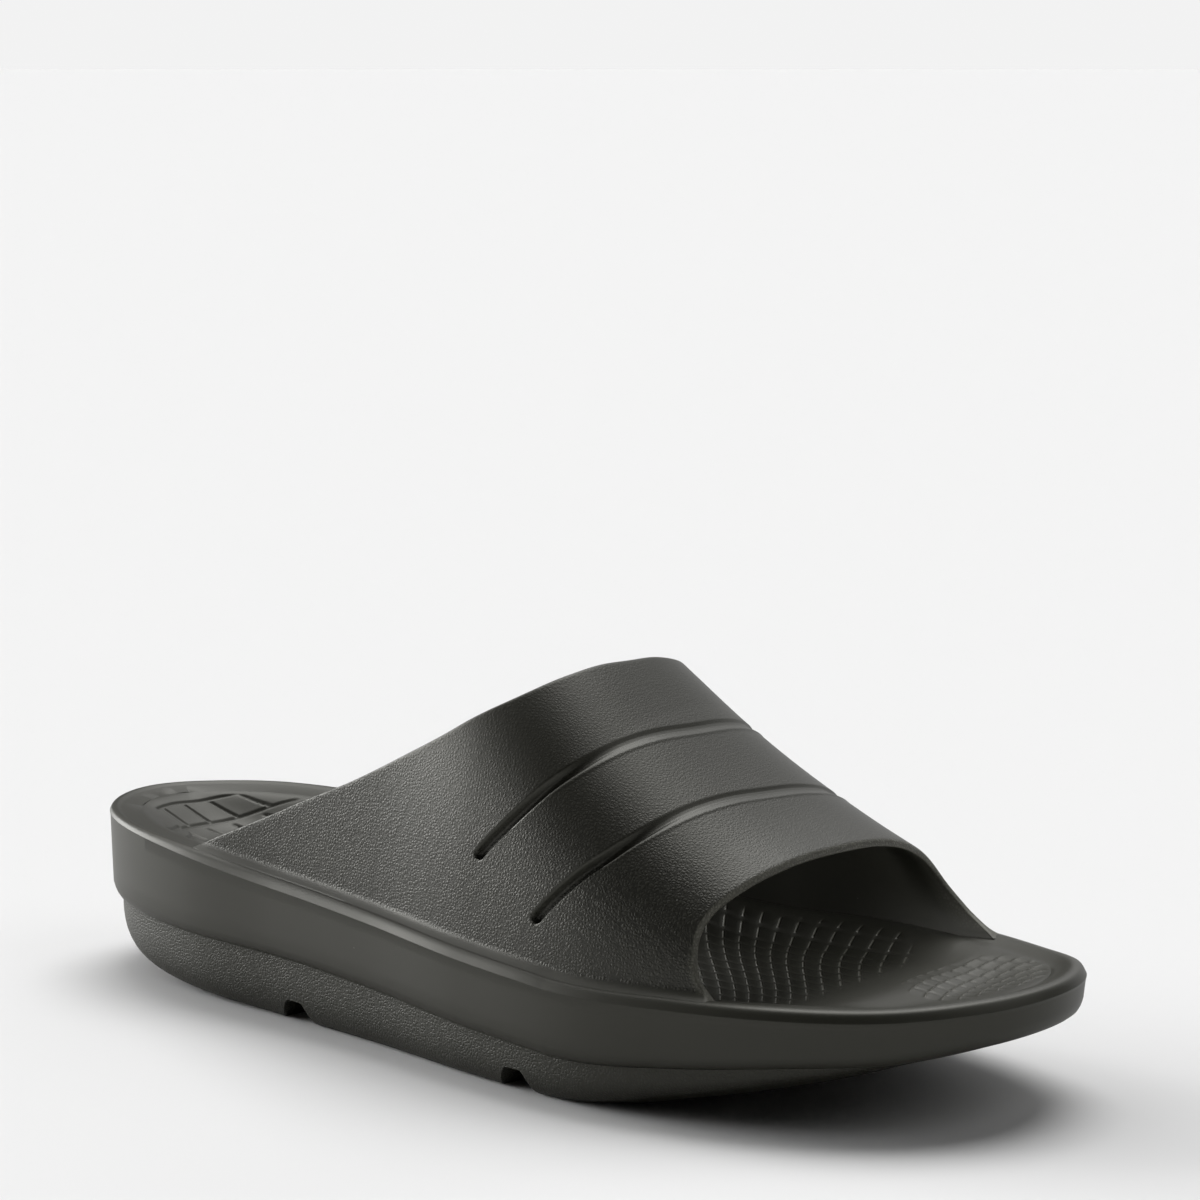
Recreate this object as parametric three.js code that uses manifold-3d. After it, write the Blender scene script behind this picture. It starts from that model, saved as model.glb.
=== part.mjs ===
// A moulded foam slide sandal for the right foot, in millimetres, with +X to the toe, +Y to the
// inner (big toe) side and +Z up. It is three mouldings fused into one shoe: the outsole that meets
// the floor, the midsole with its rim and dished footbed, and the upper, one arched band with two
// moulded grooves. The origin is on the floor under the middle of the shoe.

import * as THREE from 'three';
import { mergeVertices } from 'three/addons/utils/BufferGeometryUtils.js';
import Module from 'manifold-3d';

const wasm = await Module();
wasm.setup();

// Overall sizes
const LENGTH = 280; // heel to toe, over the rim
const BALL_WIDTH = 106; // across the rim at the ball of the foot
const OUTSOLE_THICKNESS = 16; // tread to parting line, at its thickest under the heel
const MIDSOLE_THICKNESS = 23; // parting line to rim, behind the heel
const HEEL_BEVEL = 15; // floor to the tread's edge, behind the heel
const TOE_SPRING = 19; // floor to the tread's edge, under the toe tip
const INSTEP_RISE = 64; // rim to the top of the collar
const CLEARANCE = 0.3; // between two mouldings where they meet

// Upper
const UPPER_WALL = 3.6;
const UPPER_EDGE = 2.6; // wall at the collar and at the mouth, where it thins
const EDGE_TAPER = 9; // how far from an edge the thinning starts
const EDGE_ROUNDING = 0.9; // how far the middle of a rounded edge stands out
const SEAT_INSET = 4; // rim's outer wall to the upper's outer face
const ARCH_FULLNESS = 2.6; // exponent of the arch: 2 is an ellipse, higher is boxier
const ARCH_LEAN = 0.04; // how far the arch leans to the inner side, per unit of height
const GROOVE_WIDTH = 3.4;
const GROOVE_FLOOR = 1.2; // flat bottom of a groove
const GROOVE_DEPTH = 1.9;
const GROOVE_ENDING = 0.025; // share of the arch over which a groove runs out at either end
const GROOVE_SLANT = 2.5; // most that a groove widens along the shoe where it runs aslant

// Midsole
const LEDGE = 0.4; // upper's inner face to the edge of the footbed
const RIM_WIDTH = SEAT_INSET + UPPER_WALL + LEDGE; // rim's outer wall to the edge of the footbed
const RIM_ROUNDING = 2.4; // rim's crest to where the side wall starts
const CHAMFER_WIDTH = 3.4; // lower edge of the side wall, in to the parting line
const CHAMFER_HEIGHT = 3;
const DISH_DEPTH = 8; // footbed below the rim, under the heel
const DISH_BLEND = 17; // width of the slope from the footbed's edge down into the dish
const WAIST_SWELL = 3; // footbed's swell under the arch of the foot
const TOE_BAR_RISE = 1; // low bar across the footbed, behind the toes
const TOE_BAR_WIDTH = 12; // from the bar's middle to either foot of it

// Outsole
const OUTSOLE_INSET = 3; // rim's outer wall to the outsole's side, at the parting line
const TREAD_EDGE = 3.5; // outsole's side to the edge of its tread
const TREAD_BORDER = 8.5; // rounded border of the tread, from its edge to its flat
const TREAD_BELLY = 2.6; // how far the tread's flat hangs below its edge
const TREAD_TUCK = 11; // how far the outsole draws in under the toe
const CHANNEL_DEPTH = 5.5; // flex channels across the tread
const CHANNEL_TOP = 6.5; // width of a channel at its roof
const CHANNEL_MOUTH = 12; // width of a channel at the floor
const CHANNEL_BOW = 9; // how far a channel bows forward in the middle of the sole

// How finely the mouldings are faceted
const TURNS = 96; // steps round the sole
const BED_STEPS = 14; // steps across the footbed
const ARCH_STEPS = 48; // steps over the upper
const ARCH_CROWDING = 0.6; // how far those steps crowd towards its two bases, 0 for even steps
const CHANNEL_STEPS = 10;

// Sole in plan. along is a share of LENGTH from the heel, outer and inner are the two sides of the
// rim as shares of BALL_WIDTH, and tuck is a share of TREAD_TUCK.
const PLAN = [
  { along: 0.0, outer: 0.04, inner: 0.04, tuck: 0 },
  { along: 0.03, outer: -0.157, inner: 0.22, tuck: 0 },
  { along: 0.09, outer: -0.268, inner: 0.348, tuck: 0 },
  { along: 0.18, outer: -0.339, inner: 0.412, tuck: 0 },
  { along: 0.3, outer: -0.375, inner: 0.412, tuck: 0 },
  { along: 0.42, outer: -0.427, inner: 0.4, tuck: 0 },
  { along: 0.54, outer: -0.495, inner: 0.406, tuck: 0 },
  { along: 0.66, outer: -0.532, inner: 0.445, tuck: 0 },
  { along: 0.76, outer: -0.505, inner: 0.468, tuck: 0 },
  { along: 0.85, outer: -0.44, inner: 0.428, tuck: 0.1 },
  { along: 0.92, outer: -0.336, inner: 0.362, tuck: 0.5 },
  { along: 0.975, outer: -0.166, inner: 0.27, tuck: 0.9 },
  { along: 1.0, outer: 0.063, inner: 0.063, tuck: 1.0 },
];

// Sole from the side. bevel and spring raise the tread, as shares of HEEL_BEVEL and TOE_SPRING.
// outsole and midsole are the two mouldings' thicknesses at the side of the shoe, and dish is the
// depth of the footbed, as shares of OUTSOLE_THICKNESS, MIDSOLE_THICKNESS and DISH_DEPTH.
const PROFILE = [
  { along: 0.0, bevel: 1.0, spring: 0, outsole: 0.25, midsole: 1.0, dish: 0.8 },
  { along: 0.03, bevel: 0.59, spring: 0, outsole: 0.61, midsole: 1.0, dish: 0.9 },
  { along: 0.09, bevel: 0.26, spring: 0, outsole: 0.86, midsole: 1.01, dish: 1.0 },
  { along: 0.18, bevel: 0.08, spring: 0, outsole: 0.97, midsole: 0.99, dish: 1.0 },
  { along: 0.3, bevel: 0, spring: 0, outsole: 1.0, midsole: 0.895, dish: 0.85 },
  { along: 0.42, bevel: 0, spring: 0, outsole: 0.91, midsole: 0.855, dish: 0.7 },
  { along: 0.54, bevel: 0, spring: 0, outsole: 0.78, midsole: 0.837, dish: 0.65 },
  { along: 0.66, bevel: 0, spring: 0.02, outsole: 0.65, midsole: 0.811, dish: 0.65 },
  { along: 0.76, bevel: 0, spring: 0.315, outsole: 0.43, midsole: 0.717, dish: 0.6 },
  { along: 0.85, bevel: 0, spring: 0.6, outsole: 0.25, midsole: 0.61, dish: 0.5 },
  { along: 0.92, bevel: 0, spring: 0.76, outsole: 0.145, midsole: 0.56, dish: 0.4 },
  { along: 0.975, bevel: 0, spring: 0.93, outsole: 0.115, midsole: 0.476, dish: 0.3 },
  { along: 1.0, bevel: 0, spring: 1.0, outsole: 0.12, midsole: 0.445, dish: 0.3 },
];

// Ridge of the upper's arch above the rim. along is a share of LENGTH and rise a share of
// INSTEP_RISE. Ahead of the mouth and behind the collar it only steers the sides.
const RIDGE = [
  { along: 0.1, rise: 1.83 },
  { along: 0.3, rise: 1.57 },
  { along: 0.45, rise: 1.3 },
  { along: 0.55, rise: 1.119 },
  { along: 0.64, rise: 0.845 },
  { along: 0.75, rise: 0.52 },
  { along: 0.83, rise: 0.352 },
  { along: 0.92, rise: 0.19 },
];

// Upper's lines over the arch, from its outer base (over 0) to its inner base (over 1). collar, rear,
// front and mouth are places along the shoe, as shares of LENGTH: the collar's edge, the two grooves
// and the edge round the toes.
const UPPER = [
  { over: 0.0, collar: 0.198, rear: 0.497, front: 0.592, mouth: 0.785 },
  { over: 0.03, collar: 0.262, rear: 0.517, front: 0.607, mouth: 0.776 },
  { over: 0.06, collar: 0.318, rear: 0.536, front: 0.622, mouth: 0.77 },
  { over: 0.1, collar: 0.384, rear: 0.56, front: 0.641, mouth: 0.767 },
  { over: 0.15, collar: 0.455, rear: 0.586, front: 0.663, mouth: 0.766 },
  { over: 0.2, collar: 0.509, rear: 0.607, front: 0.683, mouth: 0.77 },
  { over: 0.27, collar: 0.555, rear: 0.631, front: 0.702, mouth: 0.78 },
  { over: 0.35, collar: 0.58, rear: 0.647, front: 0.715, mouth: 0.788 },
  { over: 0.45, collar: 0.591, rear: 0.656, front: 0.724, mouth: 0.793 },
  { over: 0.55, collar: 0.594, rear: 0.66, front: 0.73, mouth: 0.797 },
  { over: 0.65, collar: 0.591, rear: 0.657, front: 0.732, mouth: 0.8 },
  { over: 0.75, collar: 0.567, rear: 0.643, front: 0.726, mouth: 0.803 },
  { over: 0.85, collar: 0.499, rear: 0.609, front: 0.703, mouth: 0.812 },
  { over: 0.92, collar: 0.414, rear: 0.575, front: 0.678, mouth: 0.834 },
  { over: 0.97, collar: 0.33, rear: 0.546, front: 0.657, mouth: 0.856 },
  { over: 1.0, collar: 0.279, rear: 0.529, front: 0.644, mouth: 0.868 },
];

// Where each groove starts and ends over the arch
const GROOVES = [
  { line: 'rear', starts: 0.095, ends: 0.9 },
  { line: 'front', starts: 0.06, ends: 0.93 },
];

// Rows of facets on the bands of the upper, as shares of the way from the collar to the first
// groove, from groove to groove, and from the last groove to the mouth
const BAND_ROWS = { rear: [0, 0.12, 0.35, 0.68], middle: [0.33, 0.67], front: [0.4, 0.8, 1] };

// The midsole's lower edge, from the parting line up to the side wall: inset is a share of
// CHAMFER_WIDTH and rise a share of CHAMFER_HEIGHT.
const CHAMFER = [
  { inset: 1, rise: 0 },
  { inset: 0.47, rise: 0.2 },
  { inset: 0.18, rise: 1 },
];

// The rim, from the side wall over its crest to the footbed: inset is a share of RIM_WIDTH and drop
// a share of RIM_ROUNDING.
const RIM = [
  { inset: 0, drop: 1 },
  { inset: 0.11, drop: 0.38 },
  { inset: 0.27, drop: 0.08 },
  { inset: 0.42, drop: 0 },
  { inset: 0.7, drop: 0.2 },
  { inset: 1, drop: 0.54 },
];

// The outsole's side from the parting line (height 1) down to the tread (height 0). inset is a share
// of TREAD_EDGE.
const OUTSOLE_SIDE = [
  { inset: 0, height: 1 },
  { inset: 0.06, height: 0.6 },
  { inset: 0.4, height: 0.2 },
  { inset: 1, height: 0 },
];

// Flex channels of the outsole, at places along the shoe as shares of LENGTH
const CHANNELS = [{ along: 0.3 }, { along: 0.597 }];

// The swell under the arch of the foot: its middle and its reach along the shoe as shares of LENGTH,
// and where it starts and how fast it grows across the shoe, as shares of the width
const SWELL = { along: 0.42, reach: 0.2, from: 0.5, over: 0.35 };

// The bar behind the toes: along is its place in the middle of the shoe as a share of LENGTH. It runs
// back towards the outer side by slant, and bows back at both sides by bow.
const TOE_BAR = { along: 0.865, slant: 0.06, bow: 0.1 };

// Hermite slopes through a table, with abscissas xs and a ghost point before and after the table
function slopes(xs, values, before, after) {
  const x = [before.x, ...xs, after.x];
  const v = [before.v, ...values, after.v];
  return xs.map((_, i) => (v[i + 2] - v[i]) / (x[i + 2] - x[i]));
}

function hermite(xs, values, tangents, x) {
  let i = xs.length - 2;
  while (i > 0 && x < xs[i]) i -= 1;
  const step = xs[i + 1] - xs[i];
  const t = (x - xs[i]) / step;
  return (1 + 2 * t) * (1 - t) ** 2 * values[i] + t * (1 - t) ** 2 * step * tangents[i]
    + t * t * (3 - 2 * t) * values[i + 1] + t * t * (t - 1) * step * tangents[i + 1];
}

// A curve through one column of a table of the sole, round the heel and toe as a closed loop: beyond
// either tip it goes on along the mirror column.
function soleColumn(table, name, mirror = name) {
  const angles = table.map((row) => Math.acos(1 - 2 * row.along));
  const values = table.map((row) => row[name]);
  const last = table.length - 1;
  const tangents = slopes(
    angles,
    values,
    { x: -angles[1], v: table[1][mirror] },
    { x: 2 * Math.PI - angles[last - 1], v: table[last - 1][mirror] },
  );
  return (along) => {
    const kept = Math.min(1, Math.max(0, along));
    return hermite(angles, values, tangents, Math.acos(1 - 2 * kept));
  };
}

// A curve through one column of an open table
function openColumn(table, key, name) {
  const xs = table.map((row) => row[key]);
  const values = table.map((row) => row[name]);
  const last = xs.length - 1;
  const tangents = slopes(
    xs,
    values,
    { x: 2 * xs[0] - xs[1], v: 2 * values[0] - values[1] },
    { x: 2 * xs[last] - xs[last - 1], v: 2 * values[last] - values[last - 1] },
  );
  return (x) => hermite(xs, values, tangents, x);
}

const outerSide = soleColumn(PLAN, 'outer', 'inner');
const innerSide = soleColumn(PLAN, 'inner', 'outer');
const tuckShare = soleColumn(PLAN, 'tuck');
const bevelShare = soleColumn(PROFILE, 'bevel');
const springShare = soleColumn(PROFILE, 'spring');
const outsoleShare = soleColumn(PROFILE, 'outsole');
const midsoleShare = soleColumn(PROFILE, 'midsole');
const dishShare = soleColumn(PROFILE, 'dish');
const ridgeShare = openColumn(RIDGE, 'along', 'rise');

const treadHeight = (x) => (
  Math.max(0, HEEL_BEVEL * bevelShare(x / LENGTH)) + Math.max(0, TOE_SPRING * springShare(x / LENGTH))
);
const partingHeight = (x) => treadHeight(x) + OUTSOLE_THICKNESS * outsoleShare(x / LENGTH);
const rimHeight = (x) => partingHeight(x) + MIDSOLE_THICKNESS * midsoleShare(x / LENGTH);
const ridgeHeight = (x) => rimHeight(x) + INSTEP_RISE * ridgeShare(x / LENGTH);

// A point of the rim's outline: turn 0 is behind the heel, 0.25 on the outer side, 0.5 at the toe
function outline(turn) {
  const wrapped = ((turn % 1) + 1) % 1;
  const along = (1 - Math.cos(2 * Math.PI * wrapped)) / 2;
  const side = wrapped <= 0.5 ? outerSide(along) : innerSide(along);
  return new THREE.Vector2(LENGTH * along, BALL_WIDTH * side);
}

// The same point moved in square to the outline
function insetPoint(turn, inset) {
  const small = 1e-4;
  const ahead = outline(turn + small).sub(outline(turn - small)).normalize();
  return outline(turn).add(new THREE.Vector2(-ahead.y, ahead.x).multiplyScalar(inset));
}

// y of one side of the outline moved in by inset, at x. side is -1 for the outer side, 1 for the inner.
function sideAt(x, side, inset) {
  const column = side < 0 ? outerSide : innerSide;
  const small = 0.5;
  const y = (place) => BALL_WIDTH * column(place / LENGTH);
  const slope = (y(x + small) - y(x - small)) / (2 * small);
  return y(x) - side * inset * Math.hypot(1, slope);
}

// Smooth step from 0 to 1
function ease(share) {
  const t = Math.min(1, Math.max(0, share));
  return t * t * (3 - 2 * t);
}

// How far the rim's surface lies below its crest at an inset, straight between the rows of its table
function rimDrop(inset) {
  const share = inset / RIM_WIDTH;
  const found = RIM.findIndex((row) => row.inset >= share);
  const next = found < 0 ? RIM.length - 1 : Math.max(1, found);
  const [a, b] = [RIM[next - 1], RIM[next]];
  return RIM_ROUNDING * (a.drop + ((b.drop - a.drop) * (share - a.inset)) / (b.inset - a.inset));
}

// Distance from a point of the footbed to its edge, blended from the distances to the two sides and
// the two tips
function bedDistance(x, y) {
  const gaps = [
    x - RIM_WIDTH,
    LENGTH - RIM_WIDTH - x,
    y - sideAt(x, -1, RIM_WIDTH),
    sideAt(x, 1, RIM_WIDTH) - y,
  ];
  if (Math.min(...gaps) <= 0) return 0;
  return gaps.reduce((sum, gap) => sum + gap ** -3, 0) ** (-1 / 3);
}

// Height of the footbed: the rim's inner edge, less the dish, plus the swell under the arch of the
// foot and the low bar behind the toes
function bedHeight(x, y) {
  const along = x / LENGTH;
  const depth = ease(bedDistance(x, y) / DISH_BLEND);
  const edge = rimHeight(x) - rimDrop(RIM_WIDTH);
  const inward = (y / BALL_WIDTH - outerSide(along)) / (innerSide(along) - outerSide(along));
  const swellAcross = ease((inward - SWELL.from) / SWELL.over);
  const swell = WAIST_SWELL * swellAcross * ease(1 - Math.abs(along - SWELL.along) / SWELL.reach);
  const aside = 0.5 - inward;
  const barAt = LENGTH * (TOE_BAR.along - TOE_BAR.slant * aside - TOE_BAR.bow * aside ** 2);
  const bar = TOE_BAR_RISE * ease(1 - Math.abs(x - barAt) / TOE_BAR_WIDTH);
  return edge - depth * (DISH_DEPTH * dishShare(along) - swell - bar);
}

// Collects points and triangles of one closed solid
class Skin {
  constructor() {
    this.points = [];
    this.triangles = [];
  }

  point(x, y, z) {
    this.points.push(x, y, z);
    return this.points.length / 3 - 1;
  }

  // Two triangles, or one where two corners are the same point
  quad(a, b, c, d) {
    if (a !== b && b !== c && c !== a) this.triangles.push(a, b, c);
    if (a !== c && c !== d && d !== a) this.triangles.push(a, c, d);
  }

  geometry() {
    const made = new THREE.BufferGeometry();
    made.setAttribute('position', new THREE.Float32BufferAttribute(this.points, 3));
    made.setIndex(this.triangles);
    return made;
  }
}

// A ring of points round the sole at one inset and height
function addRing(skin, inset, height) {
  return Array.from({ length: TURNS }, (_, i) => {
    const turn = i / TURNS;
    const base = outline(turn);
    const { x, y } = insetPoint(turn, inset(base.x));
    return skin.point(x, y, height(x));
  });
}

// Closes the sole between two rings, the first one below or outside the second
function joinRings(skin, first, second) {
  first.forEach((_, i) => {
    const next = (i + 1) % TURNS;
    skin.quad(first[i], first[next], second[next], second[i]);
  });
}

// Fills a ring with rows of points from its outer to its inner side, at heights from height(x, y)
function fillRing(skin, ring, steps, height, facesUp) {
  const half = TURNS / 2;
  const place = (index) => new THREE.Vector3().fromArray(skin.points, index * 3);
  const rows = [];
  for (let i = 0; i <= half; i += 1) {
    const [from, to] = [ring[i], ring[(TURNS - i) % TURNS]];
    const row = [from];
    for (let j = 1; j < steps; j += 1) {
      const spot = place(from).lerp(place(to), j / steps);
      row.push(from === to ? from : skin.point(spot.x, spot.y, height(spot.x, spot.y)));
    }
    row.push(to);
    rows.push(row);
  }
  for (let i = 0; i < half; i += 1) {
    for (let j = 0; j < steps; j += 1) {
      const corners = [rows[i][j], rows[i + 1][j], rows[i + 1][j + 1], rows[i][j + 1]];
      skin.quad(...(facesUp ? corners : corners.reverse()));
    }
  }
}

function midsoleGeometry() {
  const skin = new Skin();
  const underside = (x) => partingHeight(x) + CLEARANCE;
  const chamfer = CHAMFER.map(({ inset, rise }) => addRing(
    skin,
    () => CHAMFER_WIDTH * inset,
    (x) => underside(x) + CHAMFER_HEIGHT * rise,
  ));
  const rim = RIM.map(({ inset, drop }) => addRing(
    skin,
    () => RIM_WIDTH * inset,
    (x) => rimHeight(x) - RIM_ROUNDING * drop,
  ));
  const rings = [...chamfer, ...rim];
  rings.slice(1).forEach((ring, i) => joinRings(skin, rings[i], ring));
  fillRing(skin, rings.at(-1), BED_STEPS, bedHeight, true);
  fillRing(skin, rings[0], 2, underside, false);
  return skin.geometry();
}

// Flat of the tread: on the floor from the heel to the ball, rising under the toe and heel
function treadFlat(x) {
  return Math.max(0, treadHeight(x) - TREAD_BELLY * ease(1 - tuckShare(x / LENGTH)));
}

function outsoleGeometry() {
  const skin = new Skin();
  const sideInset = (x) => OUTSOLE_INSET + TREAD_TUCK * tuckShare(x / LENGTH);
  const rings = OUTSOLE_SIDE.map(({ inset, height }) => addRing(
    skin,
    (x) => sideInset(x) + TREAD_EDGE * inset,
    (x) => THREE.MathUtils.lerp(treadHeight(x), partingHeight(x), height),
  ));
  rings.push(addRing(skin, (x) => sideInset(x) + TREAD_EDGE + TREAD_BORDER, treadFlat));
  rings.slice(1).forEach((ring, i) => joinRings(skin, ring, rings[i]));
  fillRing(skin, rings[0], 2, partingHeight, true);
  fillRing(skin, rings.at(-1), 2, treadFlat, false);
  return skin.geometry();
}

// A flex channel: a bar of trapezium section from one side of the sole to the other, bowed forward
function channelGeometry({ along }) {
  const skin = new Skin();
  const overshoot = BALL_WIDTH; // each way from the middle, well past both sides
  const below = CHANNEL_DEPTH; // how far the bar reaches below the floor
  const flare = (CHANNEL_MOUTH - CHANNEL_TOP) / 2 / CHANNEL_DEPTH;
  const section = [
    { half: -CHANNEL_TOP / 2, z: CHANNEL_DEPTH },
    { half: CHANNEL_TOP / 2, z: CHANNEL_DEPTH },
    { half: CHANNEL_TOP / 2 + flare * (CHANNEL_DEPTH + below), z: -below },
    { half: -CHANNEL_TOP / 2 - flare * (CHANNEL_DEPTH + below), z: -below },
  ];
  const loops = [];
  for (let i = 0; i <= CHANNEL_STEPS; i += 1) {
    const across = (2 * i) / CHANNEL_STEPS - 1;
    const x = LENGTH * along + CHANNEL_BOW * (1 - (2 * across) ** 2);
    loops.push(section.map(({ half, z }) => skin.point(x + half, overshoot * across, z)));
  }
  loops.slice(1).forEach((loop, i) => {
    loop.forEach((_, k) => {
      const next = (k + 1) % loop.length;
      skin.quad(loops[i][k], loops[i][next], loop[next], loop[k]);
    });
  });
  skin.quad(...[...loops[0]].reverse());
  skin.quad(...loops.at(-1));
  return skin.geometry();
}

const upperColumn = (name) => openColumn(UPPER, 'over', name);
const collarShare = upperColumn('collar');
const mouthShare = upperColumn('mouth');
const grooveLines = GROOVES.map(({ line, starts, ends }) => ({
  share: upperColumn(line),
  fade: (over) => ease(Math.min(over - starts, ends - over) / GROOVE_ENDING),
}));

// A point of the arch at x, depth below its outer face. over runs from 0 at the outer base to 1 at
// the inner base.
function archPoint(x, over, depth) {
  const angle = Math.PI * over;
  const [c, s] = [Math.cos(angle), Math.sin(angle)];
  const reach = (Math.abs(c) ** ARCH_FULLNESS + s ** ARCH_FULLNESS) ** (-1 / ARCH_FULLNESS);
  const inset = SEAT_INSET + depth;
  const [outer, inner] = [sideAt(x, -1, inset), sideAt(x, 1, inset)];
  const slope = (ridgeHeight(x + 1) - ridgeHeight(x - 1)) / 2;
  const foot = rimHeight(x) - rimDrop(inset) + CLEARANCE;
  const top = ridgeHeight(x) - depth * Math.hypot(1, slope);
  const rise = (top - foot) * reach * s;
  const y = (outer + inner) / 2 - ((inner - outer) / 2) * reach * c + ARCH_LEAN * rise;
  return new THREE.Vector3(x, y, foot + rise);
}

// Half widths of a groove along x, wide enough to keep the groove's true width where it runs aslant
function grooveReach(share, over) {
  const small = 0.01;
  const [low, high] = [Math.max(0, over - small), Math.min(1, over + small)];
  const x = LENGTH * share(over);
  const run = archPoint(LENGTH * share(high), high, 0).sub(archPoint(LENGTH * share(low), low, 0));
  const cross = archPoint(x + 1, over, 0).sub(archPoint(x - 1, over, 0));
  const sine = run.clone().cross(cross).length() / (run.length() * cross.length());
  return { x, stretch: Math.min(GROOVE_SLANT, 1 / sine) };
}

// The outer face's rows at one place over the arch, from collar to mouth: x and depth of each
function outerRows(over) {
  const [collar, mouth] = [LENGTH * collarShare(over), LENGTH * mouthShare(over)];
  const stops = grooveLines.map(({ share, fade }) => {
    const { x, stretch } = grooveReach(share, over);
    const depth = GROOVE_DEPTH * fade(over);
    return [
      { x: x - (GROOVE_WIDTH / 2) * stretch, depth: 0 },
      { x: x - (GROOVE_FLOOR / 2) * stretch, depth },
      { x: x + (GROOVE_FLOOR / 2) * stretch, depth },
      { x: x + (GROOVE_WIDTH / 2) * stretch, depth: 0 },
    ];
  });
  const [rear, front] = stops;
  const band = (from, to, shares) => (
    shares.map((share) => ({ x: THREE.MathUtils.lerp(from, to, share), depth: 0 }))
  );
  return [
    ...band(collar, rear.at(0).x, BAND_ROWS.rear),
    ...rear,
    ...band(rear.at(-1).x, front.at(0).x, BAND_ROWS.middle),
    ...front,
    ...band(front.at(-1).x, mouth, BAND_ROWS.front),
  ];
}

// Wall at x, thinner towards the collar and the mouth
function wallAt(x, collar, mouth) {
  const fromEdge = Math.min(x - collar, mouth - x);
  return UPPER_EDGE + (UPPER_WALL - UPPER_EDGE) * ease(fromEdge / EDGE_TAPER);
}

function upperGeometry() {
  const skin = new Skin();
  const add = (x, over, depth) => skin.point(...archPoint(x, over, depth).toArray());
  const loops = [];
  for (let j = 0; j <= ARCH_STEPS; j += 1) {
    const even = j / ARCH_STEPS;
    const over = THREE.MathUtils.lerp(even, (1 - Math.cos(Math.PI * even)) / 2, ARCH_CROWDING);
    const rows = outerRows(over);
    const [collar, mouth] = [rows[0].x, rows.at(-1).x];
    const outer = rows.map(({ x, depth }) => add(x, over, depth));
    const inner = rows.map(({ x }) => add(x, over, wallAt(x, collar, mouth)));
    const collarEdge = add(collar - EDGE_ROUNDING, over, UPPER_EDGE / 2);
    const mouthEdge = add(mouth + EDGE_ROUNDING, over, UPPER_EDGE / 2);
    loops.push({ outer, inner, collarEdge, mouthEdge });
  }
  const chain = ({ outer, inner, collarEdge, mouthEdge }) => (
    [collarEdge, ...outer, mouthEdge, ...[...inner].reverse()]
  );
  loops.slice(1).forEach((loop, j) => {
    const [before, after] = [chain(loops[j]), chain(loop)];
    before.forEach((_, k) => {
      const next = (k + 1) % before.length;
      skin.quad(before[k], before[next], after[next], after[k]);
    });
  });
  // The two seats on the rim
  [[loops[0], false], [loops.at(-1), true]].forEach(([loop, reversed]) => {
    const strip = (a, b, c, d) => skin.quad(...(reversed ? [d, c, b, a] : [a, b, c, d]));
    const { outer, inner, collarEdge, mouthEdge } = loop;
    strip(collarEdge, inner[0], outer[0], outer[0]);
    outer.slice(1).forEach((_, k) => strip(outer[k], inner[k], inner[k + 1], outer[k + 1]));
    strip(mouthEdge, outer.at(-1), inner.at(-1), inner.at(-1));
  });
  return skin.geometry();
}

// A closed mesh as a solid for cutting, and back
function toSolid(geometry) {
  const bare = geometry.clone();
  bare.deleteAttribute('normal');
  bare.deleteAttribute('uv');
  const merged = mergeVertices(bare, 1e-5);
  return new wasm.Manifold(new wasm.Mesh({
    numProp: 3,
    vertProperties: new Float32Array(merged.attributes.position.array),
    triVerts: new Uint32Array(merged.index.array),
  }));
}

function toGeometry(solid) {
  const { vertProperties, triVerts } = solid.getMesh();
  const made = new THREE.BufferGeometry();
  made.setAttribute('position', new THREE.BufferAttribute(vertProperties, 3));
  made.setIndex(new THREE.BufferAttribute(triVerts, 1));
  return made;
}

function channelledOutsole() {
  const whole = toSolid(outsoleGeometry());
  return toGeometry(CHANNELS.reduce(
    (sole, channel) => sole.subtract(toSolid(channelGeometry(channel))),
    whole,
  ));
}

function foam(name, geometry, color, roughness) {
  const mesh = new THREE.Mesh(geometry, new THREE.MeshStandardMaterial({ color, roughness, metalness: 0 }));
  mesh.name = name;
  return mesh;
}

const sandal = new THREE.Group();
sandal.add(
  foam('outsole', channelledOutsole(), 0x45443d, 0.75),
  foam('midsole', midsoleGeometry(), 0x4a4943, 0.55),
  foam('upper', upperGeometry(), 0x4c4c46, 0.65),
);

// The middle of the shoe's box goes over the origin, and its tread on the floor
const box = new THREE.Box3().setFromObject(sandal);
const middle = box.getCenter(new THREE.Vector3());
sandal.position.set(-middle.x, -middle.y, -box.min.z);

export default sandal;
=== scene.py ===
# Looks of a moulded foam slide sandal for the right foot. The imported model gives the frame, and the
# three mouldings are built again here with their fine shapes: the pebbled upper with its two
# grooves, the midsole with its ribbed footbed, and the outsole with its channels and tread.

import math

import bmesh
import bpy
import numpy as np
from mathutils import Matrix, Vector


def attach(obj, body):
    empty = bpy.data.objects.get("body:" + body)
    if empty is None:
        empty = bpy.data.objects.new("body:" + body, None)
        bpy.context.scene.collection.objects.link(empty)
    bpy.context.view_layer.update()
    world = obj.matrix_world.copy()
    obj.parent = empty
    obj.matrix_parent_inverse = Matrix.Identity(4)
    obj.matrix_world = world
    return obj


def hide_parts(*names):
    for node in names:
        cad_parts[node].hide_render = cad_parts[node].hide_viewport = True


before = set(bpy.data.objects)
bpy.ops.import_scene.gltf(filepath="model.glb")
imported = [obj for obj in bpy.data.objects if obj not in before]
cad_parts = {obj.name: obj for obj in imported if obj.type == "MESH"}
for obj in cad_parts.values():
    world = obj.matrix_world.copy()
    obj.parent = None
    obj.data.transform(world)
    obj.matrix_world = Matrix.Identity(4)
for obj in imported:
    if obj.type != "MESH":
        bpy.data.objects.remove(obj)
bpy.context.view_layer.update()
bpy.ops.object.select_all(action="DESELECT")

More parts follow.
